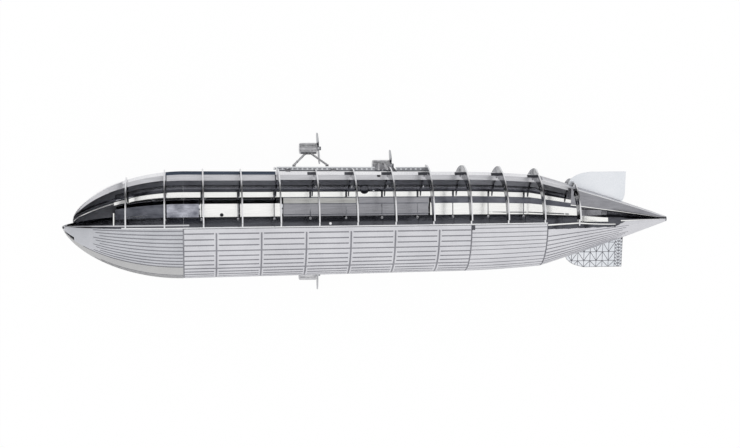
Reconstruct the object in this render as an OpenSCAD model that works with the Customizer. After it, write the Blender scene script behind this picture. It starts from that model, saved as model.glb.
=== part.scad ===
// Sheet-steel model of a rigid airship with part of its skin cut away.
// The nose points along -X, starboard is +Y, and the four engine cars stand on z = 0.
// Angles round the hull are counted from the keel towards starboard.

/* [Hull] */
// Length of the nose skins, tip to first seam
nose_l = 35.75; // [30:0.05:40]
// Length of the middle skins
mid_l = 84.75; // [80:0.05:90]
// Length of the skins behind the middle
aft_l = 23.2; // [20:0.1:26]
// Length of the tail cone
tail_l = 40.4; // [36:0.1:45]
// Hull radius at the nose seam
fore_r = 16.0; // [14:0.1:18]
// Hull radius where the middle skins end
waist_r = 15.1; // [14:0.1:16]
// Hull radius where the tail cone starts
aft_r = 13.9; // [12:0.1:14]
// Radius of the tail cone at its tip
tip_r = 0.75; // [0.7:0.05:1]
// How far the tail cone bulges beyond a straight cone
tail_bulge = 0.3; // [0:0.05:0.8]
// Fullness of the nose curve, lower is blunter
nose_power = 0.667; // [0.5:0.001:0.8]
// How late the skins behind the middle turn inwards
aft_power = 1.6; // [1:0.1:2.5]
// Thickness of the etched steel sheet
sheet = 0.3; // [0.2:0.05:0.4]

/* [Cutaway] */
// Angle at which the starboard skins end
side_q = 75; // [60:1:76]
// Angle at which the starboard tail skin ends
tail_side_q = 105; // [100:1:112]
// Angle at which the port skins start, beside the ridge
ridge_q = 169; // [165:1:172]
// Angle at which the port tail skin starts
tail_ridge_q = 172; // [170:1:175]
// Gap in the seams between two skins
seam_gap = 0.1; // [0.05:0.01:0.15]

/* [Frames] */
// Distance from the nose tip to the first ring frame
ring_start = 19.1; // [17:0.1:21]
// Distance from the tail seam to the last ring frame
ring_end = 10.4; // [8:0.1:12]
// Width of a ring frame inside the skin line
ring_w = 2.1; // [1.8:0.1:2.6]
// How far the rings stand out of the cutaway at the nose
stand = 0.8; // [0.5:0.05:1]
// How much more they stand out behind the middle
stand_more = 1.4; // [0:0.1:1.8]
// How far ahead of the aft seam they stand out most
stand_at = 7.4; // [0:0.1:12]
// Half length of that fuller stretch
stand_l = 18; // [12:1:24]
// How much more the last ring stands out
tail_stand = 1.2; // [0:0.1:1.5]
// Length of the slots in the rings
slot_l = 1.3; // [0.8:0.1:1.8]
// Width of the slots in the rings
slot_w = 0.5; // [0.3:0.05:0.7]
// Depth of the edge stringers
stringer_h = 1.0; // [0.7:0.1:1.3]
// How far stringers and keel run past the end rings
stringer_over = 1.2; // [0.6:0.1:1.5]
// Depth of the keel plate
keel_h = 2.2; // [1.6:0.1:2.8]

/* [Window bands] */
// First ring under the starboard window band
band_first = 5; // [4:1:6]
// Last ring under the starboard window band
band_last = 9; // [8:1:9]
// How far the bands stand out from the skin
band_h = 1.4; // [1.2:0.05:1.7]
// How far they stand out beside the aft cars
band_low = 0.4; // [0.3:0.05:0.6]
// Length of that low stretch beyond each end of a car
band_rest = 0.5; // [0.3:0.1:1]
// Spacing of the windows
window_pitch = 1.5; // [1.3:0.05:1.8]
// Width of a window
window_w = 1.0; // [0.6:0.05:1.1]
// Height of a window
window_h = 0.5; // [0.4:0.05:0.7]

/* [Engine cars] */
// Length of an engine car
car_l = 5.4; // [4.8:0.1:6]
// Width of an engine car
car_w = 3.3; // [3:0.1:4]
// Height of an engine car
car_h = 3.2; // [3:0.1:4]
// Chamfer along the edges of an engine car
car_c = 0.9; // [0.6:0.05:1]
// How far the shafts lie above the hull's lowest line
shaft_lift = 0.4; // [0:0.1:1]
// Distance from the nose tip to the middle of the forward cars
fwd_car_at = 74.1; // [71:0.1:77]
// Distance from the nose tip to the middle of the aft cars
aft_car_at = 96.8; // [94:0.1:99]
// Distance from the skin to the forward shafts
fwd_reach = 9.8; // [8.5:0.1:11]
// Distance from the skin to the aft shafts
aft_reach = 5.95; // [5.8:0.05:7]
// Width of a strut
strut_w = 0.6; // [0.4:0.05:0.8]
// Distance from the middle of a car to each strut's end on it
strut_near = 0.8; // [0.6:0.1:1]
// Distance from the middle of a car to each forward strut's foot
fwd_spread = 5.7; // [4.5:0.1:6]
// Distance from the middle of a car to each aft strut's foot
aft_spread = 1.9; // [1.4:0.1:2]
// Length of a strut's foot
foot_l = 2.0; // [1.2:0.1:2.4]
// Height of a strut's foot
foot_h = 0.5; // [0.3:0.05:0.7]

/* [Propellers] */
// Radius of a propeller
prop_r = 4.9; // [3.8:0.1:5]
// Widest chord of a blade
blade_w = 1.2; // [0.8:0.05:1.4]
// Pitch of the blades
blade_pitch = 10; // [5:1:25]
// Radius of the propeller hub
hub_r = 0.75; // [0.7:0.05:0.9]
// Length of the propeller hub
hub_l = 0.8; // [0.6:0.05:1]
// Radius of the propeller shaft
shaft_r = 0.3; // [0.25:0.05:0.35]
// Running clearance between shaft and hub
run_gap = 0.05; // [0.03:0.01:0.08]
// End play on each side of the hub
end_play = 0.12; // [0.08:0.01:0.2]
// Radius of the shaft's heads
head_r = 0.6; // [0.5:0.05:0.7]
// Thickness of the shaft's heads
head_t = 0.3; // [0.2:0.05:0.4]

/* [Fins] */
// Distance from the tail seam to a fin's leading edge
fin_at = 9.1; // [7:0.1:12]
// Length of a fin
fin_l = 17.8; // [16:0.1:20]
// Distance from the hull's axis to a fin's outer edge
fin_r = 15.0; // [13:0.1:16]
// Length of the curve at the leading edge
fin_nose = 7.5; // [5:0.1:10]
// Radius of the corner where the trailing edge meets the hull
fin_corner = 3.2; // [1:0.1:4]

/* [Control car] */
// Distance from the nose tip to the control car
control_at = 15.6; // [14:0.1:16.6]
// Length of the control car
control_l = 10; // [8:0.5:10.5]
// Width of the control car
control_w = 3.6; // [3:0.1:4.4]
// How far the control car's floor lies below the hull's lowest line
control_drop = 1.0; // [0.8:0.05:1.3]
// Length of the slope at each end of the control car
control_rake = 1.2; // [0.6:0.1:1.4]
// Height of a window in the control car
control_window_h = 0.5; // [0.3:0.05:0.6]

/* [End caps] */
// Outer radius of the nose tube
cap_r = 0.9; // [0.7:0.05:0.95]
// Bore radius of the nose tube
cap_bore_r = 0.45; // [0.3:0.05:0.55]
// Length of the nose tube
cap_l = 1.6; // [1.2:0.1:2]
// How far the skins stop short of the tips
cap_show = 0.45; // [0.4:0.05:0.6]
// Radius of the tail pin
pin_r = 0.5; // [0.3:0.05:0.55]
// Length of the tail pin
pin_l = 2.2; // [1.5:0.1:3]

/* [Hidden] */
$fn = 96;
fit = 0.05;
ring_count = 13;
nose_steps = 16;
aft_steps = 5;
tail_steps = 8;
ring_slots = 3;
edge_q = 1.3;
crown_q = 2.4;
control_windows = 5;

// Stations along the hull
hull_l = nose_l + mid_l + aft_l + tail_l;
x_nose = -hull_l / 2;
x_fore = x_nose + nose_l;
x_waist = x_fore + mid_l;
x_aft = x_waist + aft_l;
x_tail = x_aft + tail_l;
x_ring_1 = x_nose + ring_start;
x_ring_last = x_aft + ring_end;
ring_pitch = (x_ring_last - x_ring_1) / (ring_count - 1);
x_start = x_ring_1 - stringer_over;
x_end = x_ring_last + stringer_over;

// Outline of the hull as a table of stations and radii, from the nose to the tail
nose_table = [for (i = [0:nose_steps])
  let (s = cap_show + (nose_l - cap_show) * pow(i / nose_steps, 2))
  [x_nose + s, fore_r * pow(1 - pow(1 - s / nose_l, 2), nose_power)]];
aft_table = [for (i = [0:aft_steps])
  let (t = i / aft_steps)
  [x_waist + t * aft_l, waist_r - (waist_r - aft_r) * pow(t, aft_power)]];
tail_table = [for (i = [1:tail_steps])
  let (t = i / tail_steps)
  [x_aft + t * tail_l, aft_r - (aft_r - tip_r) * t + 4 * tail_bulge * t * (1 - t)]];
hull_table = concat(nose_table, aft_table, tail_table);
function skin_r(x) = lookup(x, hull_table);
function stations(a, b) =
  concat([a], [for (p = hull_table) if (p[0] > a + fit && p[0] < b - fit) p[0]], [b]);
function reversed(list) = [for (i = [len(list) - 1:-1:0]) list[i]];

// Ring frames and what lies on them
function ring_x(i) = x_ring_1 + (i - 1) * ring_pitch;
function bell(x) = exp(-pow((x - x_waist + stand_at) / stand_l, 2));
function tail_share(x) = max(0, 1 - (x_ring_last - x) / ring_pitch);
function crown_r(x) = skin_r(x) + stand + stand_more * bell(x) + tail_stand * tail_share(x);
function open_q(x) = x > x_aft ? tail_side_q : side_q;

// Engine cars: their shafts, and the shape of a car seen from behind
engine_drop = fore_r - shaft_lift;
axis_h = engine_drop + car_h / 2;
function car_x(fwd) = x_nose + (fwd ? fwd_car_at : aft_car_at);
function shaft_d(fwd) = skin_r(car_x(fwd)) + (fwd ? fwd_reach : aft_reach);
function car_q(fwd) = acos(engine_drop / shaft_d(fwd));
function car_y(fwd) = shaft_d(fwd) * sin(car_q(fwd));
function spread(fwd) = fwd ? fwd_spread : aft_spread;
function octagon(w, h, c) = [
  [h / 2, w / 2 - c], [h / 2 - c, w / 2], [c - h / 2, w / 2], [-h / 2, w / 2 - c],
  [-h / 2, c - w / 2], [c - h / 2, -w / 2], [h / 2 - c, -w / 2], [h / 2, c - w / 2]];
inner_c = car_c - sheet * (2 - sqrt(2));
prop_x = car_l / 2 + end_play;
control_r = fore_r + control_drop;

module at_axis() {
  translate([0, 0, axis_h]) children();
}

// Turns a drawing of x against distance from the axis into a plate at one angle
module radial_plate(q, t) {
  at_axis() rotate([q - 90, 0, 0]) linear_extrude(t, center = true) children();
}

// Lays a drawing seen from the nose square across the hull
module cross_plate(x, t) {
  at_axis() translate([x, 0, 0]) rotate([0, 90, 0]) linear_extrude(t) children();
}

module skin(a, b, q_from, q_to) {
  xs = stations(a, b);
  outside = [for (x = xs) [skin_r(x), x]];
  inside = [for (x = reversed(xs)) [skin_r(x) - sheet, x]];
  at_axis() rotate([0, 90, 0]) rotate([0, 0, q_from])
    rotate_extrude(angle = q_to - q_from) polygon(concat(outside, inside));
}

module port_skin(a, b, q) {
  seam_q = seam_gap / fore_r * 90 / PI;
  skin(a + seam_gap / 2, b - seam_gap / 2, q, 360 - seam_q);
}

module starboard_skin(a, b, q) {
  seam_q = seam_gap / fore_r * 90 / PI;
  skin(a + seam_gap / 2, b - seam_gap / 2, seam_q, q);
}

module nose_port_skin() {
  color("#d2d2d8") port_skin(x_nose + cap_show - seam_gap / 2, x_fore, ridge_q);
}

module nose_starboard_skin() {
  color("#c4c6ca") starboard_skin(x_nose + cap_show - seam_gap / 2, x_fore, side_q);
}

module mid_port_skin() {
  color("#d2d2d8") port_skin(x_fore, x_waist, ridge_q);
}

module mid_starboard_skin() {
  color("#c4c6ca") starboard_skin(x_fore, x_waist, side_q);
}

module aft_port_skin() {
  color("#d2d2d8") port_skin(x_waist, x_aft, ridge_q);
}

module aft_starboard_skin() {
  color("#c4c6ca") starboard_skin(x_waist, x_aft, side_q);
}

module tail_port_skin() {
  color("#d2d2d8") port_skin(x_aft, x_tail - cap_show + seam_gap / 2, tail_ridge_q);
}

module tail_starboard_skin() {
  color("#c4c6ca") starboard_skin(x_aft, x_tail - cap_show + seam_gap / 2, tail_side_q);
}

module sector(q_from, q_to) {
  far = 2 * fore_r;
  arc = [for (i = [0:4]) q_from + (q_to - q_from) * i / 4];
  polygon(concat([[0, 0]], [for (q = arc) far * [cos(q), sin(q)]]));
}

module notch(q, r_from, depth) {
  rotate(q) translate([r_from, -sheet / 2 - fit]) square([depth, sheet + 2 * fit]);
}

// A ring inside the closed skin, whose crown stands out of the cutaway
module ring_frame(i) {
  x = ring_x(i);
  closed_r = min(skin_r(x - sheet / 2), skin_r(x + sheet / 2)) - sheet - fit;
  inner_r = skin_r(x) - ring_w;
  open_from = open_q(x) + crown_q;
  open_to = ridge_q - crown_q;
  stringer_bed = skin_r(x) - stringer_h - fit;
  color("#e2e4e6") cross_plate(x - sheet / 2, sheet) difference() {
    union() {
      circle(closed_r);
      intersection() {
        circle(crown_r(x));
        sector(open_from, open_to);
      }
    }
    circle(inner_r);
    notch(ridge_q - edge_q, stringer_bed, ring_w);
    if (x < x_aft) notch(side_q + edge_q, stringer_bed, ring_w);
    notch(0, closed_r - keel_h / 2, keel_h);
    for (k = [1:ring_slots])
      rotate(open_from + (open_to - open_from) * k / (ring_slots + 1))
        translate([(inner_r + crown_r(x)) / 2, 0])
          square([slot_w, slot_l], center = true);
  }
}

module stringer(q, a, b) {
  xs = stations(a, b);
  outside = [for (x = xs) [x, skin_r(x)]];
  inside = [for (x = reversed(xs)) [x, skin_r(x) - stringer_h]];
  radial_plate(q, sheet) polygon(concat(outside, inside));
}

module ridge_stringer() {
  color("#f0f0f2") stringer(ridge_q - edge_q, x_start, x_end);
}

module side_stringer() {
  color("#f0f0f2") stringer(side_q + edge_q, x_start, x_aft - sheet);
}

// The keel plate and the rings are halved together, each with a notch for the other
module keel_plate() {
  xs = stations(x_start, x_end);
  outside = [for (x = xs) [x, skin_r(x) - sheet - fit]];
  inside = [for (x = reversed(xs)) [x, skin_r(x) - sheet - fit - keel_h]];
  color("#b8babd") radial_plate(0, sheet) difference() {
    polygon(concat(outside, inside));
    for (i = [1:ring_count]) {
      x = ring_x(i);
      cut_r = min(skin_r(x - sheet / 2), skin_r(x + sheet / 2)) - sheet - keel_h / 2;
      translate([x - sheet / 2 - fit, cut_r - 2 * keel_h])
        square([sheet + 2 * fit, 2 * keel_h]);
    }
  }
}

// A strip with a row of windows, on edge along the skin and low beside the aft cars
module window_band(q) {
  a = ring_x(band_first) - sheet;
  b = ring_x(band_last) + sheet;
  low = [car_x(false) - car_l / 2 - band_rest, car_x(false) + car_l / 2 + band_rest];
  count = floor((b - a) / window_pitch);
  foot = [for (x = [a, b]) [x, skin_r(x) + fit]];
  edge = [[b, band_h], [low[1], band_h], [low[1], band_low],
    [low[0], band_low], [low[0], band_h], [a, band_h]];
  radial_plate(q, sheet) difference() {
    polygon(concat(foot, [for (p = edge) [p[0], skin_r(p[0]) + p[1]]]));
    for (i = [0:count - 1]) {
      x = (a + b) / 2 + (i - (count - 1) / 2) * window_pitch;
      if (x < low[0] - window_w || x > low[1] + window_w)
        translate([x, skin_r(x) + band_h / 2]) square([window_w, window_h], center = true);
    }
  }
}

module starboard_window_band() {
  color("#cfd1d4") window_band(side_q + edge_q);
}

module port_window_band() {
  color("#cfd1d4") window_band(360 - side_q - edge_q);
}

// Puts a piece of an engine car at its shaft, whose axis runs along x
module at_car(fwd, side) {
  translate([car_x(fwd), side * car_y(fwd), axis_h - engine_drop]) rotate([0, 90, 0]) children();
}

module car(fwd, side) {
  color("#a0a0a4") at_car(fwd, side) difference() {
    translate([0, 0, -car_l / 2]) linear_extrude(car_l) polygon(octagon(car_w, car_h, car_c));
    translate([0, 0, sheet - car_l / 2]) linear_extrude(car_l)
      polygon(octagon(car_w - 2 * sheet, car_h - 2 * sheet, inner_c));
  }
}

module bulkhead(fwd, side) {
  edge = 2 * sheet + 2 * fit;
  color("#8c8d90") at_car(fwd, side) translate([0, 0, car_l / 2 - sheet]) difference() {
    linear_extrude(sheet) polygon(octagon(car_w - edge, car_h - edge, inner_c));
    translate([0, 0, -sheet]) cylinder(r = shaft_r + fit, h = 3 * sheet);
  }
}

module shaft(fwd, side) {
  front = car_l / 2 - sheet - fit - head_t;
  rear = prop_x + hub_l + end_play;
  color("#77787b") at_car(fwd, side) {
    translate([0, 0, front]) cylinder(r = head_r, h = head_t);
    translate([0, 0, front]) cylinder(r = shaft_r, h = rear + head_t - front);
    translate([0, 0, rear]) cylinder(r = head_r, h = head_t);
  }
}

// Half chord of a blade at a share t of its length
function half_chord(t) = blade_w / 2 * sqrt(1 - pow(t, 4)) * (0.5 + 0.5 * sin(90 * min(1, 2 * t)));

module blade() {
  steps = 10;
  root = (shaft_r + run_gap + hub_r) / 2;
  up = [for (i = [0:steps]) [root + (prop_r - root) * i / steps, half_chord(i / steps)]];
  down = [for (i = [steps - 1:-1:0]) [up[i][0], -up[i][1]]];
  rotate([0, 0, 90]) rotate([90 - blade_pitch, 0, 0])
    linear_extrude(sheet, center = true) polygon(concat(up, down));
}

module propeller(fwd, side) {
  color("#b4b5b8") at_car(fwd, side) translate([0, 0, prop_x]) difference() {
    union() {
      cylinder(r = hub_r, h = hub_l);
      for (turn = [0, 180]) translate([0, 0, hub_l / 2]) rotate([0, 0, turn]) blade();
    }
    translate([0, 0, -hub_l]) cylinder(r = shaft_r + run_gap, h = 3 * hub_l);
  }
}

// Half of a strut frame, from the bar on the car down one strut and round its foot
function strut_side(x, way, top, foot_x) = let (
  half = strut_w / 2,
  bar = strut_near + strut_w,
  low = [for (dx = [half, foot_l / 2, -foot_l / 2, -half]) foot_x + way * dx]) [
  [x + way * bar, top], [x + way * bar, top - strut_w],
  [x + way * (strut_near + half), top - strut_w],
  [low[0], foot_h], [low[1], foot_h], [low[1], 0],
  [low[2], 0], [low[2], foot_h], [low[3], foot_h],
  [x + way * (strut_near - half), top - strut_w]];

// The frame's feet stand on the band's edge, and its bar lies along the car's chamfer
module struts(fwd, side) {
  x = car_x(fwd);
  toe = x - spread(fwd) - foot_l / 2;
  foot_r = skin_r(toe) + (fwd ? band_h : band_low) + sheet / 2 + fit;
  foot = foot_r * [sin(side_q + edge_q), -cos(side_q + edge_q)];
  seat = [car_y(fwd) + (car_c - car_w) / 2, (car_h - car_c) / 2 - engine_drop];
  long = norm(seat - foot) - sheet;
  way = (seat - foot) / norm(seat - foot);
  rear = strut_side(x, 1, long, x + spread(fwd));
  front = strut_side(x, -1, long, x - spread(fwd));
  color("#98999c") at_axis() translate([0, side * foot[0], foot[1]])
    rotate([atan2(way[1], side * way[0]), 0, 0]) linear_extrude(sheet, center = true)
      polygon(concat(rear, reversed(front)));
}

// Leading edge a quarter ellipse, outer and trailing edges straight, root along the cone
module fin(q) {
  a = x_aft + fin_at;
  b = a + fin_l;
  root_r = skin_r(a) + fit;
  steps = 12;
  lead = [for (i = [0:steps]) let (t = 90 * i / steps)
    [a + fin_nose * (1 - cos(t)), root_r + (fin_r - root_r) * sin(t)]];
  heel = b - fin_corner / 3;
  heel_r = skin_r(heel) + fit;
  corner_r = skin_r(b) + fit + fin_corner;
  trail = [for (i = [0:steps / 2]) let (t = 90 * i / (steps / 2))
    [b - (b - heel) * (1 - cos(t)), corner_r - (corner_r - heel_r) * sin(t)]];
  root = [for (x = reversed(stations(a, heel))) [x, skin_r(x) + fit]];
  radial_plate(q, sheet) polygon(concat(lead, [[b, fin_r]], trail, root));
}

module starboard_fin() {
  color("#dde1e6") fin(90);
}

module port_fin() {
  color("#d6d8dc") fin(270);
}

module ventral_fin() {
  color("#d6d8dc") fin(0);
}

// Side view of the control car, set in from its outer faces by edge
module control_outline(edge) {
  a = x_nose + control_at + edge;
  b = a + control_l - 2 * edge;
  roof = [for (x = stations(a, b)) [x, skin_r(x) + 2 * fit - edge]];
  polygon(concat(roof, [[b, control_r - control_rake], [b - control_rake, control_r - edge],
    [a + 2 * control_rake, control_r - edge], [a, skin_r(a) + control_rake]]));
}

module control_car() {
  a = x_nose + control_at + 2 * control_rake;
  step = (control_l - 3 * control_rake) / control_windows;
  window_z = axis_h - control_r + control_rake / 2 + sheet;
  color("#c0c2c6") difference() {
    radial_plate(0, control_w) control_outline(0);
    radial_plate(0, control_w - 2 * sheet) control_outline(sheet);
    for (i = [0:control_windows - 1])
      translate([a + (i + 0.5) * step, 0, window_z])
        cube([step / 2, 2 * control_w, control_window_h], center = true);
  }
}

// A strip that closes the control car under the hull
module control_deck() {
  xs = stations(x_nose + control_at + 2 * sheet, x_nose + control_at + control_l - 2 * sheet);
  upper = [for (x = xs) [x, skin_r(x) + 2 * fit]];
  lower = [for (x = reversed(xs)) [x, skin_r(x) + 2 * fit + sheet]];
  color("#b0b2b6") radial_plate(0, control_w - 2 * sheet - 2 * fit) polygon(concat(upper, lower));
}

module nose_cap() {
  color("#6e6f72") at_axis() translate([x_nose, 0, 0]) rotate([0, 90, 0]) difference() {
    cylinder(r = cap_r, h = cap_l);
    translate([0, 0, -cap_l]) cylinder(r = cap_bore_r, h = 3 * cap_l);
  }
}

module tail_cap() {
  color("#9a9b9e") at_axis() translate([x_tail, 0, 0]) rotate([0, -90, 0]) {
    cylinder(r = tip_r, h = cap_show - fit);
    cylinder(r = pin_r, h = pin_l);
  }
}

nose_port_skin();
nose_starboard_skin();
mid_port_skin();
mid_starboard_skin();
aft_port_skin();
aft_starboard_skin();
tail_port_skin();
tail_starboard_skin();
ring_frame(1);  // ring_frame_01
ring_frame(2);  // ring_frame_02
ring_frame(3);  // ring_frame_03
ring_frame(4);  // ring_frame_04
ring_frame(5);  // ring_frame_05
ring_frame(6);  // ring_frame_06
ring_frame(7);  // ring_frame_07
ring_frame(8);  // ring_frame_08
ring_frame(9);  // ring_frame_09
ring_frame(10);  // ring_frame_10
ring_frame(11);  // ring_frame_11
ring_frame(12);  // ring_frame_12
ring_frame(13);  // ring_frame_13
ridge_stringer();
side_stringer();
keel_plate();
starboard_window_band();
port_window_band();
car(true, 1);  // starboard_fwd_car
bulkhead(true, 1);  // starboard_fwd_bulkhead
struts(true, 1);  // starboard_fwd_struts
shaft(true, 1);  // starboard_fwd_shaft
propeller(true, 1);  // starboard_fwd_propeller
car(true, -1);  // port_fwd_car
bulkhead(true, -1);  // port_fwd_bulkhead
struts(true, -1);  // port_fwd_struts
shaft(true, -1);  // port_fwd_shaft
propeller(true, -1);  // port_fwd_propeller
car(false, 1);  // starboard_aft_car
bulkhead(false, 1);  // starboard_aft_bulkhead
struts(false, 1);  // starboard_aft_struts
shaft(false, 1);  // starboard_aft_shaft
propeller(false, 1);  // starboard_aft_propeller
car(false, -1);  // port_aft_car
bulkhead(false, -1);  // port_aft_bulkhead
struts(false, -1);  // port_aft_struts
shaft(false, -1);  // port_aft_shaft
propeller(false, -1);  // port_aft_propeller
control_car();
control_deck();
starboard_fin();
port_fin();
ventral_fin();
nose_cap();
tail_cap();
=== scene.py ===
import bmesh
import bpy
from math import atan2, ceil, cos, degrees, pi, radians, sin, sqrt
from mathutils import Matrix, Vector


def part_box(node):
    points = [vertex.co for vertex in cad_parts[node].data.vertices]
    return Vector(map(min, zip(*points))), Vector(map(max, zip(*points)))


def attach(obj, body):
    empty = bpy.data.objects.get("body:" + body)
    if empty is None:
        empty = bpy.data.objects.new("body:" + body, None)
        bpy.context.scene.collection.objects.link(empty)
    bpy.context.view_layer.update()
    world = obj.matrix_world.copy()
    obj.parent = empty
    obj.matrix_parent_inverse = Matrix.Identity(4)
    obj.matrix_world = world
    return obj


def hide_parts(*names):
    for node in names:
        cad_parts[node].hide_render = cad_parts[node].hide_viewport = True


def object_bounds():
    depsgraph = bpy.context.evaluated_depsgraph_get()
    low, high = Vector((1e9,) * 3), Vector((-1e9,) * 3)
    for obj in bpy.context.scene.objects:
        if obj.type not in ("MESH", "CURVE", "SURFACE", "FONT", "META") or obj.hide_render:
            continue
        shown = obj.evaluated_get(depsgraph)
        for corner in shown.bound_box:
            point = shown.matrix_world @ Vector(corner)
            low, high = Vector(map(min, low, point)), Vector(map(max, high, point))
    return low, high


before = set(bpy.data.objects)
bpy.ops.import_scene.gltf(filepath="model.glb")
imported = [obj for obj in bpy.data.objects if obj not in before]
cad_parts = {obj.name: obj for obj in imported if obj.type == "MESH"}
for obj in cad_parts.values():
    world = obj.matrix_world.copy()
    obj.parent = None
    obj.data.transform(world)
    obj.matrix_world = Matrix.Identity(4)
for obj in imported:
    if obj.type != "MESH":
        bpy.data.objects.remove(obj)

# Desk model of a rigid airship, folded from etched stainless sheet. Metres, nose at -X, starboard +Y.

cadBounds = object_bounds()
mm = 0.001
mergeReach = 0.002 * mm
upwards = Vector((0, 0, 1))


def toLinear(hexColour):
    channels = [int(hexColour[i:i + 2], 16) / 255 for i in (1, 3, 5)]
    return [c / 12.92 if c <= 0.04045 else ((c + 0.055) / 1.055) ** 2.4 for c in channels] + [1]


# Hull sizes: what the frame tells is read from it, the rest are the sheet's own curves
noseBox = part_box("nose_port_skin")
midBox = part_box("mid_port_skin")
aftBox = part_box("aft_port_skin")
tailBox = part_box("tail_port_skin")
hull = dict(
    axisHeight=17.2 * mm,
    noseX=cadBounds[0][0],
    foreX=(noseBox[1][0] + midBox[0][0]) / 2,
    waistX=(midBox[1][0] + aftBox[0][0]) / 2,
    aftX=(aftBox[1][0] + tailBox[0][0]) / 2,
    tailX=cadBounds[1][0],
    foreRadius=16.0 * mm, waistRadius=15.1 * mm, aftRadius=13.9 * mm, tipRadius=0.75 * mm,
    nosePower=0.667, aftPower=1.6, tailBulge=0.3 * mm,
    sheet=0.3 * mm,
)
axisPoint = Vector((0, 0, hull["axisHeight"]))


def hullRadius(x):
    if x < hull["foreX"]:
        share = (x - hull["noseX"]) / (hull["foreX"] - hull["noseX"])
        return hull["foreRadius"] * (1 - (1 - share) ** 2) ** hull["nosePower"]
    if x < hull["waistX"]:
        share = (x - hull["foreX"]) / (hull["waistX"] - hull["foreX"])
        return hull["foreRadius"] + (hull["waistRadius"] - hull["foreRadius"]) * share
    if x < hull["aftX"]:
        share = (x - hull["waistX"]) / (hull["aftX"] - hull["waistX"])
        return hull["waistRadius"] - (hull["waistRadius"] - hull["aftRadius"]) * share ** hull["aftPower"]
    share = (x - hull["aftX"]) / (hull["tailX"] - hull["aftX"])
    straight = hull["aftRadius"] - (hull["aftRadius"] - hull["tipRadius"]) * share
    return straight + 4 * hull["tailBulge"] * share * (1 - share)


def hullPoint(x, radius, angle):
    # angle in degrees from the keel towards starboard
    return Vector((x, radius * sin(radians(angle)), hull["axisHeight"] - radius * cos(radians(angle))))


def stripAxes(angle):
    # out from the axis, and square to that round the hull
    return hullPoint(0, 1, angle) - axisPoint, Vector((0, cos(radians(angle)), sin(radians(angle))))


def hullAngle(point):
    return degrees(atan2(point.y, hull["axisHeight"] - point.z)) % 360


def hullDistance(point):
    return sqrt(point.y ** 2 + (point.z - hull["axisHeight"]) ** 2)


# Camera: above the back, leaning 13 degrees to starboard, the nose a little nearer
view = dict(
    focus=(-0.15 * mm, -0.51 * mm, hull["axisHeight"]), distance=484 * mm,
    lean=13.0, yaw=6.5, roll=0.73, lensPixels=1597, imageWidth=740, sensor=36.0,
)
print("camera")
lean, yaw, roll = (radians(view[k]) for k in ("lean", "yaw", "roll"))
towards = Vector((-sin(yaw), cos(yaw) * sin(lean), cos(yaw) * cos(lean)))
level = Vector((cos(yaw), sin(yaw) * sin(lean), sin(yaw) * cos(lean)))
upright = Vector((0, cos(lean), -sin(lean)))
rightward = level * cos(roll) - upright * sin(roll)
upward = upright * cos(roll) + level * sin(roll)
eye = Vector(view["focus"]) + towards * view["distance"]
bpy.ops.object.camera_add()
camera = bpy.context.object
camera.matrix_world = Matrix((
    (rightward.x, upward.x, towards.x, eye.x),
    (rightward.y, upward.y, towards.y, eye.y),
    (rightward.z, upward.z, towards.z, eye.z),
    (0, 0, 0, 1)))
camera.data.sensor_width = view["sensor"]
camera.data.lens = view["sensor"] * view["lensPixels"] / view["imageWidth"]
camera.data.clip_start = 0.01
bpy.context.scene.camera = camera


# Small helpers of the bench
def clearPick():
    if bpy.context.object and bpy.context.object.mode != "OBJECT":
        bpy.ops.object.mode_set(mode="OBJECT")
    bpy.ops.object.select_all(action="DESELECT")


def openEdit():
    bpy.ops.object.mode_set(mode="EDIT")


def closeEdit():
    bpy.ops.object.mode_set(mode="OBJECT")


def pickAll():
    bpy.ops.mesh.select_all(action="SELECT")


def pickPiece(piece):
    clearPick()
    piece.select_set(True)
    bpy.context.view_layer.objects.active = piece


def corners(name):
    return [Vector(corner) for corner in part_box(name)]


def centreOf(face):
    return face.calc_center_median()


def angleOf(face):
    return hullAngle(face.calc_center_median())


def pickFaces(test):
    mesh = bmesh.from_edit_mesh(bpy.context.object.data)
    bpy.ops.mesh.select_mode(type="FACE")
    bpy.ops.mesh.select_all(action="DESELECT")
    found = 0
    for face in mesh.faces:
        if test(face):
            face.select_set(True)
            found += 1
    bmesh.update_edit_mesh(bpy.context.object.data)
    return found


def pickEdges(test):
    mesh = bmesh.from_edit_mesh(bpy.context.object.data)
    bpy.ops.mesh.select_mode(type="EDGE")
    bpy.ops.mesh.select_all(action="DESELECT")
    for edge in mesh.edges:
        if test(edge):
            edge.select_set(True)
    bmesh.update_edit_mesh(bpy.context.object.data)


def paintPick(slotIndex):
    bpy.context.object.active_material_index = slotIndex
    bpy.ops.object.material_slot_assign()


def sinkPick(depth):
    bpy.ops.mesh.extrude_region_shrink_fatten(TRANSFORM_OT_shrink_fatten={"value": -depth})


def dropPick():
    bpy.ops.mesh.delete(type="FACE")


def pullEdges(way=(0, 0, 0)):
    bpy.ops.mesh.extrude_edges_move(TRANSFORM_OT_translate={"value": way})


def startPiece(name):
    # the primitive just added becomes the piece; its place goes into its mesh
    piece = bpy.context.object
    piece.name = name
    piece.data.name = name
    bpy.ops.object.transform_apply(location=True, rotation=True, scale=True)
    return piece


def applyModifier(piece, kind, **settings):
    modifier = piece.modifiers.new(kind.lower(), kind)
    for key, value in settings.items():
        setattr(modifier, key, value)
    pickPiece(piece)
    bpy.ops.object.modifier_apply(modifier=modifier.name)


def recalcNormals(piece):
    pickPiece(piece)
    openEdit()
    pickAll()
    bpy.ops.mesh.remove_doubles(threshold=mergeReach)
    bpy.ops.mesh.normals_make_consistent(inside=False)
    closeEdit()


def smoothen(piece, angle=30):
    pickPiece(piece)
    bpy.ops.object.shade_smooth_by_angle(angle=radians(angle))


def dress(piece, materials, body="root", replaced=()):
    piece.data.materials.clear()
    for material in materials:
        piece.data.materials.append(material)
    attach(piece, body)
    if replaced:
        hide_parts(*replaced)


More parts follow.
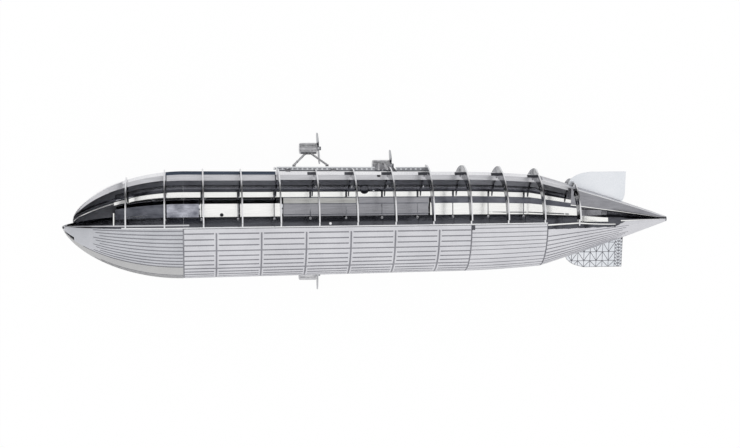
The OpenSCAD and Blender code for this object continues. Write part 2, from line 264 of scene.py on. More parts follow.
def thicken(piece, materials, thickness, replaced=()):
    # a flat outline becomes sheet, and the last of its materials goes on the cut edge
    closeEdit()
    recalcNormals(piece)
    dress(piece, materials, replaced=replaced)
    applyModifier(piece, "SOLIDIFY", thickness=thickness, offset=0.0, material_offset_rim=len(materials) - 1)
    smoothen(piece)


def drawLine(name, points):
    # one vertex, pulled out from point to point
    clearPick()
    bpy.ops.mesh.primitive_plane_add(size=0.1 * mm, location=(0, 0, 0))
    piece = startPiece(name)
    openEdit()
    bpy.ops.mesh.select_mode(type="VERT")
    pickAll()
    bpy.ops.mesh.merge(type="CENTER")
    bpy.ops.transform.translate(value=points[0])
    for here, there in zip(points, points[1:]):
        bpy.ops.mesh.extrude_vertices_move(TRANSFORM_OT_translate={"value": there - here})
    return piece


def spinAlong(stops, arcStep):
    # the picked line is rolled round the hull's axis, from stop to stop
    pickAll()
    for a, b in zip(stops, stops[1:]):
        bpy.ops.mesh.spin(steps=max(1, ceil((b - a) / arcStep)), angle=radians(a - b),
                          center=axisPoint, axis=(1, 0, 0))


def joinPieces(name, pieces):
    clearPick()
    for piece in pieces:
        piece.select_set(True)
    bpy.context.view_layer.objects.active = pieces[0]
    bpy.ops.object.join()
    pieces[0].name = name
    pieces[0].data.name = name
    return pieces[0]


# Materials
def addNode(tree, kind, values=None, links=None, **settings):
    node = tree.nodes.new("ShaderNode" + kind)
    for key, value in settings.items():
        setattr(node, key, value)
    for key, value in (values or {}).items():
        node.inputs[key].default_value = value
    for key, source in (links or {}).items():
        tree.links.new(source, node.inputs[key])
    return node


def sheetSteel(name, light, dark, smooth, rough, grain, relief, stretch=(1, 1, 1), smudge=9):
    # a rolled or etched face: grain decides its roughness and relief, smudges its tone; sizes in mm
    material = bpy.data.materials.new(name)
    material.use_nodes = True
    tree = material.node_tree
    shader = tree.nodes["Principled BSDF"]
    shader.inputs["Metallic"].default_value = 1.0
    place = addNode(tree, "TexCoord")
    turned = addNode(tree, "Mapping", dict(Scale=stretch), dict(Vector=place.outputs["Object"]))
    pits = addNode(tree, "TexNoise", dict(Scale=1 / (grain * mm), Detail=3.0, Roughness=0.6),
                   dict(Vector=turned.outputs[0]))
    smudges = addNode(tree, "TexNoise", dict(Scale=1 / (smudge * mm), Detail=2.0, Roughness=0.5),
                      dict(Vector=place.outputs["Object"]))
    tone = addNode(tree, "Math", {1: 0.45}, {0: smudges.outputs["Fac"]}, operation="MULTIPLY")
    both = addNode(tree, "Math", {1: 0.55}, {0: pits.outputs["Fac"], 2: tone.outputs[0]},
                   operation="MULTIPLY_ADD")
    ramp = addNode(tree, "ValToRGB", links=dict(Fac=both.outputs[0]))
    ramp.color_ramp.elements[0].position = 0.35
    ramp.color_ramp.elements[0].color = toLinear(dark)
    ramp.color_ramp.elements[1].position = 0.62
    ramp.color_ramp.elements[1].color = toLinear(light)
    gloss = addNode(tree, "MapRange", {"To Min": smooth, "To Max": rough},
                    dict(Value=both.outputs[0]))
    bump = addNode(tree, "Bump", dict(Strength=1.0, Distance=relief * mm),
                   dict(Height=pits.outputs["Fac"]))
    tree.links.new(ramp.outputs["Color"], shader.inputs["Base Color"])
    tree.links.new(gloss.outputs["Result"], shader.inputs["Roughness"])
    tree.links.new(bump.outputs["Normal"], shader.inputs["Normal"])
    return material


print("materials")
# Stainless steel sheet, its face half etched away in acid: a pale satin, finely pitted (pits drawn at 0.25 mm)
etchedSheet = sheetSteel("etched stainless sheet", "#dddde1", "#cbcbd0", 0.42, 0.58, 0.25, 0.002)
# The nose: the same sheet, a little greyer
noseSheet = sheetSteel("greyer etched stainless sheet", "#cecfd4", "#b8babf", 0.42, 0.58, 0.25, 0.002)
# The same sheet, darker along the bottom of the nose: painted shade on the side turned from the light
shadedNoseSheet = sheetSteel("rubbed etched stainless sheet", "#c2c2c2", "#b2b2b4", 0.36, 0.5, 0.25, 0.002)
# The floor of an etched line: deeper bitten, so rougher and darker
etchedLine = sheetSteel("etched line in stainless", "#a4a4aa", "#8a8a90", 0.55, 0.7, 0.15, 0.004)
# Stainless sheet with its mill mirror finish kept: near black and white reflections, faint rolling lines
mirrorSheet = sheetSteel("mirror rolled stainless sheet",
                         "#f0f0f2", "#e4e6ea", 0.015, 0.06, 0.4, 0.0004, (0.06, 1, 1))
# Black steel painted where shade and dark reflections fall: inner faces, recesses, the closed part of the rings
# and dark marks; below it a blue-grey steel
shadeAndReflectionBlack = sheetSteel("stainless painted black for shade and reflections",
                       "#5a5b61", "#434449", 0.08, 0.16, 0.5, 0.0006, (0.06, 1, 1))
blueTint = sheetSteel("blue grey stainless sheet", "#48505e", "#363e4a", 0.1, 0.2, 0.5, 0.0006, (0.06, 1, 1))
# Inner faces painted grey and pale for the reflections the mirror would show there: greyer towards the nose and
# paler in the tail
dimReflectionSheet = sheetSteel("stainless painted grey for inner reflections", "#b4b5bc", "#9c9da4", 0.4, 0.5, 0.5, 0.0006, (0.06, 1, 1))
paleReflectionSheet = sheetSteel("stainless painted pale for inner reflections",
                        "#e8e8ec", "#d4d4da", 0.4, 0.5, 0.5, 0.0006, (0.06, 1, 1))
# Lighter and darker copies of one satin, painted for the reflections and shade on the inner faces and the inner
# strips
greyReflectionSatin = sheetSteel("stainless painted grey for reflections", "#9c9ca1", "#86868b", 0.12, 0.22, 0.4, 0.0008, (0.08, 1, 1))
dimReflectionSatin = sheetSteel("stainless painted dim for reflections",
                      "#b4b4b2", "#a0a09e", 0.12, 0.22, 0.4, 0.0008, (0.08, 1, 1))
darkReflectionSatin = sheetSteel("stainless painted dark for reflections and shade",
                       "#6c6e76", "#44464e", 0.12, 0.22, 1.6, 0.0008, (0.3, 1, 1), 3)
patchyReflectionSatin = sheetSteel("stainless painted patchy for reflections",
                         "#bcbec8", "#70727c", 0.12, 0.22, 1.8, 0.0008, (0.4, 1, 1), 3)
paleReflectionSatin = sheetSteel("stainless painted pale for reflections",
                       "#cacace", "#b8b8bc", 0.12, 0.22, 0.4, 0.0008, (0.08, 1, 1))
brightReflectionSatin = sheetSteel("stainless painted bright for reflections",
                         "#f8f8f6", "#eeeeec", 0.08, 0.16, 0.4, 0.0006, (0.08, 1, 1))
# Sheet edge where the acid cut through
cutEdge = sheetSteel("acid cut stainless edge", "#ececee", "#d2d2d6", 0.25, 0.4, 0.12, 0.003)
# Stringers: thin polished fret, bright on the face and on its edges
polishedFret = sheetSteel("polished stainless fret", "#ececee", "#d8d8dc", 0.08, 0.2, 0.3, 0.001)
# Faces of the ring frames: the same fret, painted dark for the shade and dark reflections on them
shadedFret = sheetSteel("heat clouded stainless fret", "#9a9ba0", "#2e2f34", 0.1, 0.2, 1.1, 0.001, smudge=1.8)
# Keel plate, control car and window bands: fret that keeps a light satin from the acid
satinFret = sheetSteel("satin stainless fret", "#cfd1d4", "#b4b6ba", 0.22, 0.36, 0.25, 0.002)
# Engine cars: both faces etched, a duller and darker grey than the hull
dullSheet = sheetSteel("matt etched stainless", "#d6d6d8", "#a6a6aa", 0.36, 0.52, 0.3, 0.004, (0.3, 1, 1), 1.4)
# Propellers: thin sheet, twisted by hand, with the lines of its rolling along the blades
bladeSheet = sheetSteel("twisted stainless blade", "#c2c3c6", "#a4a5a8", 0.2, 0.34, 0.2, 0.002, (1, 0.15, 1))
# Shafts, pins and end caps: drawn steel wire with fine rings
drawnWire = sheetSteel("drawn steel wire", "#8e8f94", "#6c6d72", 0.18, 0.3, 0.12, 0.002, (3, 1, 1))
# Fins: the palest sheet, a very fine and even satin
finSheet = sheetSteel("fine satin stainless fin", "#eceef2", "#dde1e6", 0.4, 0.5, 0.25, 0.001, smudge=14)

# A skin's outside comes first, its inside second and its cut edge third, as its thickening needs them
skinMaterials = [etchedSheet, mirrorSheet, cutEdge, etchedLine, shadeAndReflectionBlack, greyReflectionSatin, shadedNoseSheet, dimReflectionSheet,
                 paleReflectionSheet]
outsidePlace, insidePlace, rimPlace, linePlace = range(4)


# Skins: rolled from one profile line, walled inwards, then the lines are bitten into the outside
skinWork = dict(
    lineWidth=0.4 * mm, crossWidth=0.5 * mm, widen=0.8, lineDepth=0.08 * mm, lineGap=0.4 * mm,
    seamLip=0.2 * mm, meet=0.04 * mm, arcStep=1.8, leastStep=0.05 * mm, leastTurn=0.1, edgeMargin=5,
    widenFrom=200, widenOver=35, noseSteps=34, tailSteps=60, midSteps=12, cutPower=0.3,
    crossFirst=9.5 * mm, crossPitch=13.12 * mm, crossCount=6, longFrom=6.3 * mm,
)


def spread(first, last, pitch):
    count = int((last - first) / pitch + 0.001)
    return [first + pitch * k for k in range(count + 1)]


# Painted reflections on the inner faces: bands of darker and lighter steel standing for the reflections and
# shade, as from x and to x in millimetres, from angle, to angle, steel
reflectionBands = [(fromX * mm, toX * mm, fromAngle, toAngle, steel) for fromX, toX, fromAngle, toAngle, steel in (
    (-92.2, 62.5, 26.6, 31, shadeAndReflectionBlack), (-92.2, -77, 31, 74, dimReflectionSheet), (-77, 62.5, 31, 37.5, greyReflectionSatin),
    (-77, 31, 37.5, 74, dimReflectionSheet), (31, 62.5, 37.5, 74, paleReflectionSheet), (-92.2, -76.5, 0, 26.6, dimReflectionSheet),
    (-92.2, 51.6, 338, 360, shadeAndReflectionBlack), (-92.2, -86, 74, 338, shadeAndReflectionBlack), (51.6, 92.2, 318, 360, shadeAndReflectionBlack),
    (62.5, 75, 0, 58, paleReflectionSheet), (75, 92.2, 0, 58, greyReflectionSatin),
)]
midCrosses = [hull["foreX"] + skinWork["crossFirst"] + skinWork["crossPitch"] * k
              for k in range(skinWork["crossCount"])]
portMidLines = spread(177.0, 350, 6.36)
portSide = dict(fromAngle=172, toAngle=359.97)
starboardSide = dict(fromAngle=0.03, toAngle=75)
noseLines = dict(linesFrom=-82.5 * mm)
tailLines = dict(linesTo=79 * mm, taper=1.1 * mm)
# dark: an end beside the ridge painted black as shade, as from x, to x and the angle it reaches
# cutLine: the edge beside the slanting gap of the tail, as points of x and angle
# on the nose, the angles from and to along its bottom where the darker sheet is painted as shade
skins = dict(
    nose_port_skin=dict(portSide | noseLines, fromAngle=171.5,
                        lines=spread(173.8, 217.9, 4.4) + spread(236, 352, 4.4), stagger=0.9 * mm,
                        longLine=217.8, slits=[(-91.2 * mm, -88.3 * mm, 204, 218)], shadedSide=(218.4, 300)),
    nose_starboard_skin=dict(starboardSide | noseLines, lines=spread(8, 70, 4.4), start=-89.2 * mm,
                             cutTo=-78 * mm),
    mid_port_skin=dict(portSide, lines=portMidLines, crosses=midCrosses, through=portMidLines[3::4]),
    mid_starboard_skin=dict(starboardSide, lines=spread(9.4, 70, 6.36), crosses=midCrosses),
    aft_port_skin=dict(portSide, lines=spread(175.3, 202, 5.3) + spread(208.9, 350, 7.2), fine=0.7,
                       dark=(28.3 * mm, 29.45 * mm, 177.2)),
    aft_starboard_skin=dict(starboardSide, lines=spread(9.4, 70, 6.0)),
    tail_port_skin=dict(portSide | tailLines, lines=spread(187.7, 351, 6.2),
                        cutLine=[(51.5 * mm, 178.6), (74 * mm, 186.2), (78 * mm, 171.9)]),
    tail_starboard_skin=dict(starboardSide | tailLines, toAngle=105, lines=spread(9, 100, 6.2)),
)


def cutShare(share):
    # the cut edge leaves the tip steeply and then runs nearly along the hull
    return max(0, share) ** skinWork["cutPower"]


def skinStations(fromX, toX, work):
    lip = skinWork["seamLip"]
    gap, half = skinWork["lineGap"], skinWork["crossWidth"] / 2
    marks = [fromX, fromX + lip, toX - lip, toX]
    for cross in work.get("crosses", []):
        marks += [cross - half - gap, cross - half, cross + half, cross + half + gap]
    for slit in work.get("slits", []) + [work.get("dark", (0, 0))]:
        marks += [x for x in slit[:2] if fromX < x < toX]
    marks += [x for x, angle in work.get("cutLine", []) if fromX < x < toX]
    if fromX < hull["foreX"] - 1 * mm:
        steps = skinWork["noseSteps"]
        marks += [fromX + (toX - fromX) * (k / steps) ** 2 for k in range(1, steps)]
    elif toX > hull["waistX"] + 1 * mm:
        marks += [fromX + (toX - fromX) * k / skinWork["tailSteps"] for k in range(1, skinWork["tailSteps"])]
    else:
        marks += [fromX + (toX - fromX) * k / skinWork["midSteps"] for k in range(1, skinWork["midSteps"])]
    for edge in ("linesFrom", "linesTo"):
        if edge in work:
            marks.append(work[edge])
    marks += [x for reflectionBand in reflectionBands for x in reflectionBand[:2] if fromX < x < toX]
    marks.sort()
    kept = [marks[0]]
    for x in marks[1:]:
        if x - kept[-1] > skinWork["leastStep"]:
            kept.append(x)
    return kept


def rollSkin(name, work):
    low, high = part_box(name)
    fromX = max(work.get("start", hull["noseX"]), low[0] - skinWork["meet"])
    toX = min(hull["tailX"], high[0] + skinWork["meet"])
    xs = skinStations(fromX, toX, work)
    # lines are drawn wider where the side falls away from view
    half = degrees(skinWork["lineWidth"] / 2 / hull["foreRadius"]) * work.get("fine", 1)
    away = {line: (line - skinWork["widenFrom"]) / skinWork["widenOver"] for line in work["lines"]}
    halves = {line: half * (1 + skinWork["widen"] * min(1, max(0, away[line]))) for line in work["lines"]}
    stops = [work["fromAngle"]]
    for line in work["lines"]:
        stops += [line - halves[line], line + halves[line]]
    for slit in work.get("slits", []) + [work.get("dark", ())]:
        stops += [a for a in slit[2:] if work["fromAngle"] < a < work["toAngle"]]
    stops += [a for reflectionBand in reflectionBands if reflectionBand[0] < toX and reflectionBand[1] > fromX for a in reflectionBand[2:4]
              if work["fromAngle"] + 0.5 < a < work["toAngle"] - 0.5]
    stops.sort()
    stops = [a for k, a in enumerate(stops) if k == 0 or a - stops[k - 1] > skinWork["leastTurn"]]
    stops.append(work["toAngle"])
    piece = drawLine(name + "_sheet", [hullPoint(x, hullRadius(x), work["fromAngle"]) for x in xs])
    spinAlong(stops, skinWork["arcStep"])
    pickAll()
    bpy.ops.mesh.remove_doubles(threshold=mergeReach)
    bpy.ops.mesh.normals_make_consistent(inside=False)
    mesh = bmesh.from_edit_mesh(piece.data)
    outward = sum((centreOf(f) - axisPoint).yz.dot(f.normal.yz) > 0 for f in mesh.faces)
    if outward < len(mesh.faces) / 2:
        bpy.ops.mesh.flip_normals()
    for slit in work.get("slits", []):
        pickFaces(lambda f: slit[0] < centreOf(f).x < slit[1]
                  and slit[2] < angleOf(f) < slit[3])
        dropPick()
    if "cutTo" in work:
        cutLength = work["cutTo"] - work["start"]
        pickFaces(lambda f: centreOf(f).x < work["cutTo"] and angleOf(f)
                  > work["toAngle"] * cutShare((centreOf(f).x - work["start"]) / cutLength))
        dropPick()
    cutLine = work.get("cutLine", [])
    for (startX, startAngle), (endX, endAngle) in zip(cutLine, cutLine[1:]):
        first = hullPoint(startX, hullRadius(startX), startAngle)
        last = hullPoint(endX, hullRadius(endX), endAngle)
        normal = (last - first).cross(first - Vector((first.x, 0, hull["axisHeight"]))).normalized()
        pickFaces(lambda f: startX < centreOf(f).x < endX and angleOf(f) < 200)
        bpy.ops.mesh.bisect(plane_co=first, plane_no=normal if normal.y > 0 else -normal, clear_outer=True)
    closeEdit()
    outside = noseSheet if name.startswith("nose") else etchedSheet
    dress(piece, [outside] + skinMaterials[1:], replaced=[name])
    applyModifier(piece, "SOLIDIFY", thickness=hull["sheet"], offset=-1.0, use_even_offset=True,
                  material_offset=insidePlace, material_offset_rim=rimPlace)
    lip, gap, halfLine = skinWork["seamLip"], skinWork["lineGap"], skinWork["crossWidth"] / 2
    firstX, lastX = work.get("linesFrom", fromX + lip), work.get("linesTo", toX - lip)
    edgeLow, edgeHigh = work["fromAngle"] + skinWork["edgeMargin"], work["toAngle"] - skinWork["edgeMargin"]

    def isLine(face):
        if face.material_index != outsidePlace:
            return False
        centre = face.calc_center_median()
        angle = hullAngle(centre)
        if (centre.x < fromX + lip and fromX > hull["noseX"] + 2 * mm) or (
                centre.x > toX - lip and toX < hull["tailX"] - 2 * mm):
            return True
        across = any(abs(centre.x - cross) < halfLine for cross in work.get("crosses", []))
        if across:
            return edgeLow < angle < edgeHigh
        for k, line in enumerate(work["lines"]):
            if abs(angle - line) < halves[line]:
                if any(abs(centre.x - cross) < halfLine + gap for cross in work.get("crosses", [])):
                    return line in work.get("through", [])
                if abs(line - work.get("longLine", 0)) < 0.5:
                    return centre.x > hull["noseX"] + skinWork["longFrom"]
                lineFrom = firstX + work.get("stagger", 0) * (k % 3)
                return lineFrom < centre.x < lastX - work.get("taper", 0) * (k % 4)
        return False

    openEdit()
    pickFaces(isLine)
    sinkPick(skinWork["lineDepth"])
    paintPick(linePlace)
    # the end beside the ridge is painted black as shade
    if "dark" in work:
        darkFrom, darkTo, darkAngle = work["dark"]
        pickFaces(lambda f: f.material_index in (outsidePlace, linePlace) and darkFrom < centreOf(f).x < darkTo
                  and angleOf(f) < darkAngle)
        paintPick(skinMaterials.index(shadeAndReflectionBlack))
    # the bottom of the nose gets the darker sheet as painted shade
    if "shadedSide" in work:
        shadeFrom, shadeTo = work["shadedSide"]
        pickFaces(lambda f: f.material_index == outsidePlace and shadeFrom < angleOf(f) < shadeTo)
        paintPick(skinMaterials.index(shadedNoseSheet))
    # the inner faces get bands of painted reflection and shade
    for startX, endX, startAngle, endAngle, steel in reflectionBands:
        if pickFaces(lambda f: f.material_index == insidePlace and startX < centreOf(f).x < endX
                     and startAngle < angleOf(f) < endAngle):
            paintPick(skinMaterials.index(steel))
    closeEdit()
    smoothen(piece)


print("skins")
for name, work in skins.items():
    rollSkin(name, work)


# CAD pieces that keep their shape get their steels
finishes = dict(
    keel_plate=satinFret,
    starboard_fwd=dullSheet, port_fwd=dullSheet, starboard_aft=dullSheet, port_aft=dullSheet,
    control=satinFret, starboard_fin=finSheet, port_fin=finSheet, ventral_fin=finSheet,
    tail_cap=drawnWire,
)
for name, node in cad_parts.items():
    for start, material in finishes.items():
        if name.startswith(start):
            for slot in node.material_slots:
                slot.material = drawnWire if name.endswith("_shaft") else material


# Nose tube: a short bored tube in the tip, tilted up
noseTube = dict(radius=0.62 * mm, length=1.3 * mm, bore=0.4 * mm, depth=0.9 * mm, tilt=35, x=-91.15 * mm,
                rise=1.3 * mm, margin=0.02 * mm)
tubeTilt = radians(noseTube["tilt"])
tubeMiddle = Vector((noseTube["x"], 0, hull["axisHeight"] + noseTube["rise"]))
noseDirection = Vector((-sin(tubeTilt), 0, cos(tubeTilt)))


def tubeGap(face):
    return (centreOf(face) - tubeMiddle).cross(noseDirection).length


clearPick()
bpy.ops.mesh.primitive_cylinder_add(vertices=32, radius=noseTube["radius"], depth=noseTube["length"],
                                    location=tubeMiddle, rotation=(0, -tubeTilt, 0))
tube = startPiece("nose_cap_tube")
openEdit()
pickFaces(lambda f: f.normal.dot(noseDirection) > 0.9)
bpy.ops.mesh.inset(thickness=noseTube["radius"] - noseTube["bore"])
sinkPick(noseTube["depth"])
closeEdit()
dress(tube, [drawnWire, shadeAndReflectionBlack, cutEdge], replaced=["nose_cap"])
openEdit()
# the bore is painted black as the shade inside it
boreReach = noseTube["bore"] + noseTube["margin"]
pickFaces(lambda f: tubeGap(f) < boreReach)
paintPick(1)
pickFaces(lambda f: f.normal.dot(noseDirection) > 0.9 and tubeGap(f) > boreReach)
paintPick(2)
closeEdit()
smoothen(tube)


# Inner strips: flat plates along the inside that brace the skin. Each runs from x to x in millimetres; its
# edges are given as shares of the inner radius with an angle, and an edge may turn on its way
# The strips' steels are lighter and darker copies of one satin, painted as the reflections and shade inside the
# hull
print("inner strips")
walkShape = (0.913, 13.3, 13.3, 0.84, -16.4)
floorShape = (0.961, 20.5, 20.5, 0.8895, -7.6)
stringerShape = (1.019, 76.3, 76.3, 0.954, 0)
stripWork = dict(thickness=0.12 * mm, step=1.3, ribThickness=0.1 * mm, footThickness=0.3 * mm)
strips = dict(
    nose_ledge=(-78.2, -61.4, 0.995, 75, 75, 0.863, -2.5, paleReflectionSatin),
    fore_ledge=(-61.2, -28.6, 0.995, 64.5, 64.5, 0.884, -3.6, paleReflectionSatin),
    main_ledge=(-28.4, 61.6, 0.995, 72, 72, 0.866, -2.4, paleReflectionSatin),
    nose_wire_strip=(-88.9, -77.2, 0.97, 8, 23.8, 0.957, -1.4, brightReflectionSatin),
    nose_wide_strip=(-77.2, -73.4, 0.98, 24, 24.8, 0.94, -4.0, brightReflectionSatin),
    nose_edge=(-91.3, -54.6, 1.02, 168.6, 168.6, 1.02, -1.5, paleReflectionSatin),
    fore_bilge_strip=(-73.2, -61.4, 0.99, 24, 26.6, 0.948, -4.4, brightReflectionSatin),
    main_bilge_strip=(-61.2, 66.0, 0.995, 26.6, 26.6, 0.9456, -5.4, brightReflectionSatin),
    nose_stop=(-77.45, -77.1, 0.75, 12, 12, 0.6, -25, brightReflectionSatin),
    floor_strip_1=(-25.6, -2.4, *floorShape, dimReflectionSatin),
    floor_strip_2=(-2.2, 19.8, *floorShape, greyReflectionSatin),
    floor_strip_3=(20.4, 66.0, *floorShape, darkReflectionSatin),
    walk_1=(-76.9, -62.0, *walkShape, darkReflectionSatin),
    walk_2=(-61.4, -51.6, *walkShape, patchyReflectionSatin),
    walk_3=(-51.2, -39.4, *walkShape, brightReflectionSatin),
    walk_4=(-38.9, -26.2, *walkShape, brightReflectionSatin),
    walk_5=(-25.6, 19.6, *walkShape, greyReflectionSatin),
    walk_6=(20.2, 66.0, *walkShape, brightReflectionSatin),
    tail_walk=(66.2, 75.2, 0.9, -3.4, -7.3, 0.9, -13, brightReflectionSatin),
    tail_floor=(66.2, 73.2, 0.95, 8, 13.5, 0.9, -14, greyReflectionSatin),
    tail_line=(62.4, 91.2, 0.495, 57.5, 57.5, 0.46, -1.8, brightReflectionSatin),
    tail_edge=(76, 91.4, 1.04, 172.6, 172.6, 1.04, -3, brightReflectionSatin),
    # walk_mark is a black mark painted as shade
    walk_mark=(36.9, 41.0, 0.9, 8, 8, 0.885, -3, shadeAndReflectionBlack),
    tail_plate=(62.4, 91.0, 0.99, 75, 75, 0.484, -17.3, greyReflectionSatin),
    floor_line=(-25.6, 66.0, 0.9497, 20.75, 20.75, 0.9402, -0.85, darkReflectionSatin),
    walk_line=(-25.6, 19.6, 0.8856, 14.06, 14.06, 0.8779, -1.0, darkReflectionSatin),
    walk_foot=(-25.6, 19.6, 0.8348, -0.31, -0.31, 0.832, -1.06, darkReflectionSatin),
)
# The stringers along both edges, face up: the starboard one is a darker blue-grey steel between the second ring
# and the cars, and the one beside the ridge runs on as a rail over the gap in the tail
stringerEnds = [corner.x / mm for corner in corners("side_stringer")]
ridgeStart = corners("ridge_stringer")[0].x / mm
edgeStrips = dict(
    ridge_stringer_line=(ridgeStart, 51.6, 1.019, 170.8, 170.8, 0.954, 0, polishedFret),
    # the rail and its end are painted bright as a reflection
    ridge_stringer_rail=(51.7, 62.2, 1.01, 172.3, 171.6, 1.01, 1.7, brightReflectionSatin),
    ridge_stringer_end=(62.2, 74.2, 1.01, 171.6, 178.6, 1.01, 2.0, brightReflectionSatin),
    side_stringer_fore=(stringerEnds[0], -61.4, *stringerShape, polishedFret),
    side_stringer_middle=(-61.4, -28.6, *stringerShape, blueTint),
    side_stringer_aft=(-28.6, stringerEnds[1], *stringerShape, polishedFret),
)


def innerPoint(x, share, angle):
    return hullPoint(x, (hullRadius(x) - hull["sheet"]) * share, angle)


def layStrip(name, thickness, fromX, toX, first, angleFrom, angleTo, last, turn, material, replaced=()):
    count = max(2, int((toX - fromX) / stripWork["step"]))
    shares = [k / count for k in range(count + 1)]
    turns = [cutShare(share) if toX * mm < hull["foreX"] else share for share in shares]
    stations = [(fromX + (toX - fromX) * share, angleFrom + (angleTo - angleFrom) * angleShare)
                for share, angleShare in zip(shares, turns)]
    piece = drawLine(name, [innerPoint(x * mm, first, angle) for x, angle in stations])
    pickAll()
    pullEdges()
    bpy.ops.transform.resize(value=(1, last / first, last / first), center_override=axisPoint)
    bpy.ops.transform.rotate(value=radians(-turn), orient_axis="X", center_override=axisPoint)
    thicken(piece, [material, cutEdge], thickness, replaced)


def turnStud(name, foot, outwards, radius, height, material):
    # a round stud, proud of the sheet by its height, its rim rounded
    clearPick()
    bpy.ops.mesh.primitive_cylinder_add(vertices=16, radius=radius, depth=height,
                                        location=foot + outwards * height / 2,
                                        rotation=outwards.to_track_quat("Z", "Y").to_euler())
    stud = startPiece(name)
    openEdit()
    pickFaces(lambda f: f.normal.dot(outwards) > 0.9)
    bpy.ops.mesh.bevel(offset=radius / 4, segments=2)
    closeEdit()
    smoothen(stud)
    dress(stud, [material])


for name, shape in strips.items():
    layStrip(name, stripWork["thickness"], *shape)
# Pale rim along the slanting cut of the nose: level, and drawn in towards the middle. Its pale steel is a
# painted reflection
rimCut = dict(fromX=-89.1, length=10.9, toAngle=74.9, steps=24, share=0.995, drawnIn=0.85)
rimShares = [(k / rimCut["steps"]) ** 2 for k in range(rimCut["steps"] + 1)]
rim = drawLine("nose_rim", [innerPoint((rimCut["fromX"] + rimCut["length"] * share) * mm, rimCut["share"],
                                       rimCut["toAngle"] * cutShare(share)) for share in rimShares])
pickAll()
pullEdges()
bpy.ops.transform.resize(value=(1, rimCut["drawnIn"], 1), center_override=axisPoint)
thicken(rim, [paleReflectionSatin, cutEdge], stripWork["thickness"])
# Each ring frame has a foot beside the ridge. All but the first and last show a narrow rib over the strips,
# painted dark as shade, with a bright tab beside the walk. From the sixth on a notch painted black as shade lies
# over the ledge, and a few have a catch painted bright as a highlight
ribs = dict(drift=-0.1, bilgeHalf=0.3, walkHalf=0.15, bilge=(0.985, 28, 28, 0.935, -7.6, shadedFret),
            walk=(0.902, 13.6, 13.6, 0.832, -17.4, shadedFret),
            tabShare=0.82, tabAngle=-6.0, tabRadius=0.42 * mm,
            notchFrom=-2.3, notchTo=-0.2, notch=(1.01, 78, 78, 0.95, -0.6, shadeAndReflectionBlack), notchesAfter=5,
            catchHalf=0.14, catchBack=-1.6, catch=(0.985, 37.8, 37.8, 0.98, -3.4, brightReflectionSatin),
            catchesBefore=10,
            footHalf=0.2, foot=(1.02, 166.8, 166.8, 1.02), footTurn=3.6, footTurnTail=9.6)
ringCount = 13
studHeight = 0.3 * mm
for number in range(1, ringCount + 1):
    low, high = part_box("ring_frame_%02d" % number)
    ringX = (low[0] + high[0]) / 2 / mm
    footTurn = ribs["footTurnTail"] if number == ringCount else ribs["footTurn"]
    layStrip("ring_foot_%02d" % number, stripWork["footThickness"], ringX - ribs["footHalf"],
             ringX + ribs["footHalf"], *ribs["foot"], footTurn, cutEdge)
    if number in (1, ringCount):
        continue
    ribX = ringX + ribs["drift"] * number
    for kind in ("bilge", "walk"):
        layStrip("%s_rib_%02d" % (kind, number), stripWork["ribThickness"], ribX - ribs[kind + "Half"],
                 ribX + ribs[kind + "Half"], *ribs[kind])
    turnStud("rib_tab_%02d" % number, innerPoint(ribX * mm, ribs["tabShare"], ribs["tabAngle"]), upwards,
             ribs["tabRadius"], studHeight, cutEdge)
    if ribs["notchesAfter"] < number < ribs["catchesBefore"]:
        catchX = ribX - ribs["catchBack"]
        layStrip("bilge_catch_%02d" % number, stripWork["ribThickness"], catchX - ribs["catchHalf"],
                 catchX + ribs["catchHalf"], *ribs["catch"])
    if number > ribs["notchesAfter"]:
        layStrip("ledge_notch_%02d" % number, stripWork["ribThickness"], ringX + ribs["notchFrom"],
                 ringX + ribs["notchTo"], *ribs["notch"])
# Single studs: x, distance from the axis, angle, radius, steel, slot
# bilge_disc and walk_stud are black: dark spots painted as reflection and shade
studs = dict(
    bilge_disc=(-0.6, 14.4, 32, 1.4, shadeAndReflectionBlack, "stringer_steel"),
    bilge_dot=(2.2, 14.0, 31, 0.3, cutEdge, "stringer_steel"),
    ridge_dot=(-13.6, 15.7, 167.5, 0.4, cutEdge, "stringer_steel"),
    band_knob=(-28.8, 16.6, 77, 0.45, cutEdge, "window_steel"),
    walk_stud=(-44.6, 13.3, -0.6, 0.6, shadeAndReflectionBlack, "stringer_steel"),
)
for name, (x, reach, angle, radius, material, slotName) in studs.items():
    turnStud(name, hullPoint(x * mm, reach * mm, angle), upwards, radius * mm, studHeight, material)
for name, shape in edgeStrips.items():
    layStrip(name, hull["sheet"], *shape, replaced=["_".join(name.split("_")[:2])])


# Ring frames: flat frets whose bright cut edge shows round the cutaway, with three slots in the open part
print("ring frames")
ring = dict(edge=0.4 * mm, width=2.1 * mm, clear=0.05 * mm, slotLength=1.3 * mm, slotWidth=0.5 * mm, slots=3,
            arcStep=3.0,
            closedShare=0.95, openTo=166.6, openFrom=77.4, openFromTail=107.4,
            lugFrom=50.0, lugTo=100.0, lugHeight=1.9 * mm, lugBend=1.1 * mm, lugSteps=16, lugGap=0.08 * mm,
            lugProud=0.1 * mm, lugExtra=0.05 * mm)


